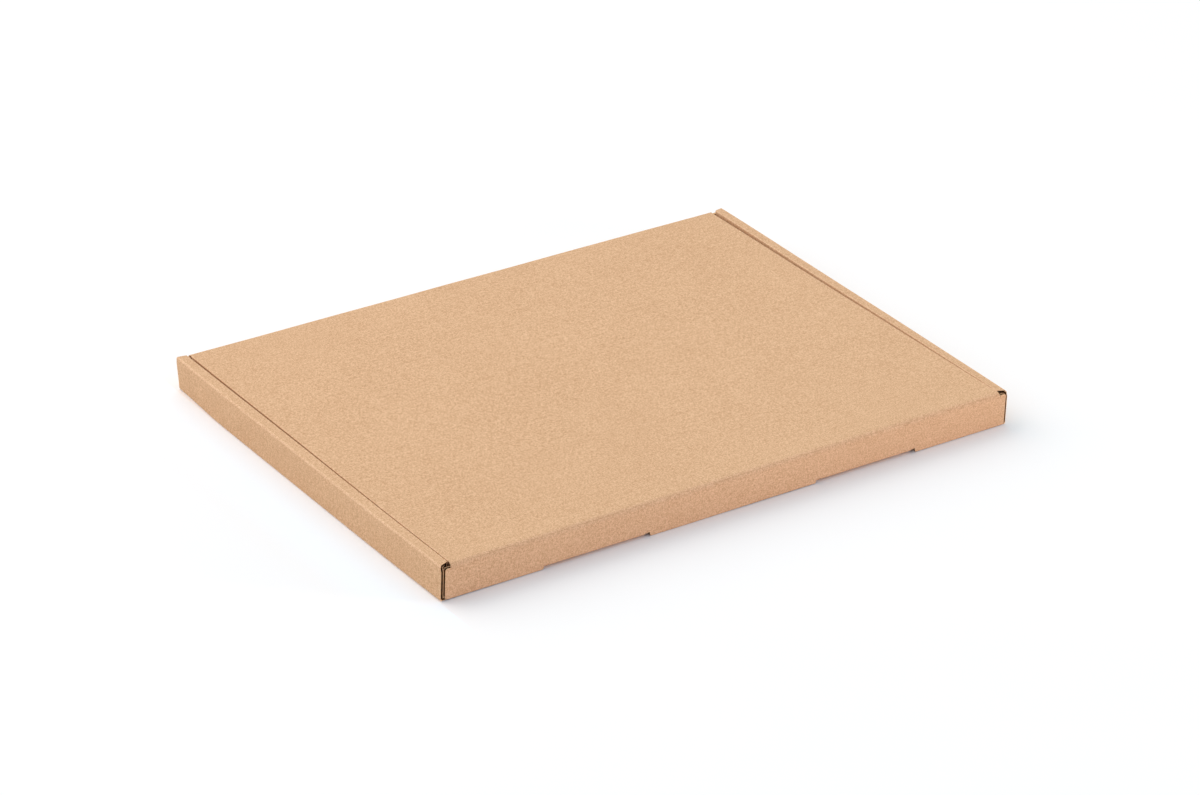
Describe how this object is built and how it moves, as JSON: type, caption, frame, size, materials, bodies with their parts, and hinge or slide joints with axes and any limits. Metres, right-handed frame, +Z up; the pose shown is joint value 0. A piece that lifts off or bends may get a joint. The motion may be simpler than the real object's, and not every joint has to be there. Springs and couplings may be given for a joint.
{
  "type": "closed cardboard mailing box",
  "caption": "Shallow closed mailing box of kraft corrugated board: lid hinged on one long side, front flap tucked through slots, short sides rolled over.",
  "frame": {"origin": "middle of the underside of the base, on the surface the box rests on", "axes": "+X along the long side, -Y out of the tucked front flap, +Y out of the hinge side, +Z up through the lid"},
  "size_m": [0.35, 0.254, 0.0195],
  "materials": {
    "kraft_board": "uncoated brown kraft corrugated board, matt"
  },
  "bodies": {
    "root": {"folded_box": "kraft_board"}
  },
  "joints": []
}
